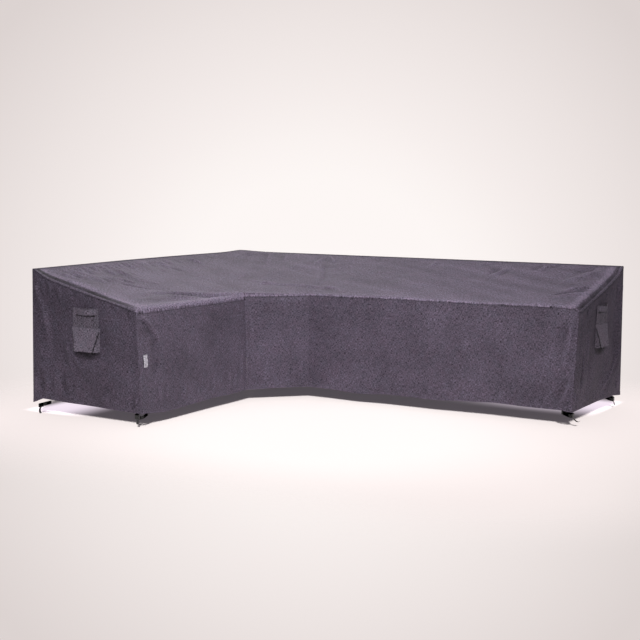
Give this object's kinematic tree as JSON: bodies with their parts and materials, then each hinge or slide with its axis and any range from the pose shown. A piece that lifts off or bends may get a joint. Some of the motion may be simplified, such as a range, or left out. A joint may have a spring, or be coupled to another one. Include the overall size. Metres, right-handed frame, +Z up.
{
  "type": "fitted L-shaped sectional sofa cover",
  "caption": "Fitted woven rain cover for an L-shaped garden sofa, with a sloping top, vent hoods, carry handles and leg straps.",
  "frame": {"origin": "the point under the top at its outer back corner, where the sofa's backrests carry the cover", "axes": "+X along the long arm, -Y along the short arm, +Z up"},
  "size_m": [2.9286, 2.2087, 0.8947],
  "materials": {
    "cloth": "coated plain-weave polyester, matt with a faint sheen",
    "vent_cloth": "the same cloth in a lighter shade",
    "seam_tape": "narrow woven tape",
    "webbing": "ribbed polyester webbing",
    "buckle": "moulded, fine grain",
    "label": "bare woven label"
  },
  "bodies": {
    "root": {"top_panel": "cloth", "front_panel_short": "cloth", "front_panel_long": "cloth", "back_panel_short": "cloth", "back_panel_long": "cloth", "end_panel_short": "cloth", "end_panel_long": "cloth", "end_welt_short": "cloth", "end_welt_long": "cloth", "back_binding": "seam_tape", "handle_patch_short": "vent_cloth", "handle_patch_long": "vent_cloth", "handle_short": "cloth", "handle_long": "cloth", "vent_hood_short": "vent_cloth", "vent_hood_long": "vent_cloth", "label": "label", "strap_short_back": "webbing", "strap_short_front": "webbing", "strap_long_front": "webbing", "strap_long_back": "webbing", "strap_tail_short_back": "webbing", "strap_tail_short_front": "webbing", "strap_tail_long_front": "webbing", "strap_tail_long_back": "webbing", "buckle_short_back": "buckle", "buckle_short_front": "buckle", "buckle_long_front": "buckle", "buckle_long_back": "buckle"}
  },
  "joints": []
}
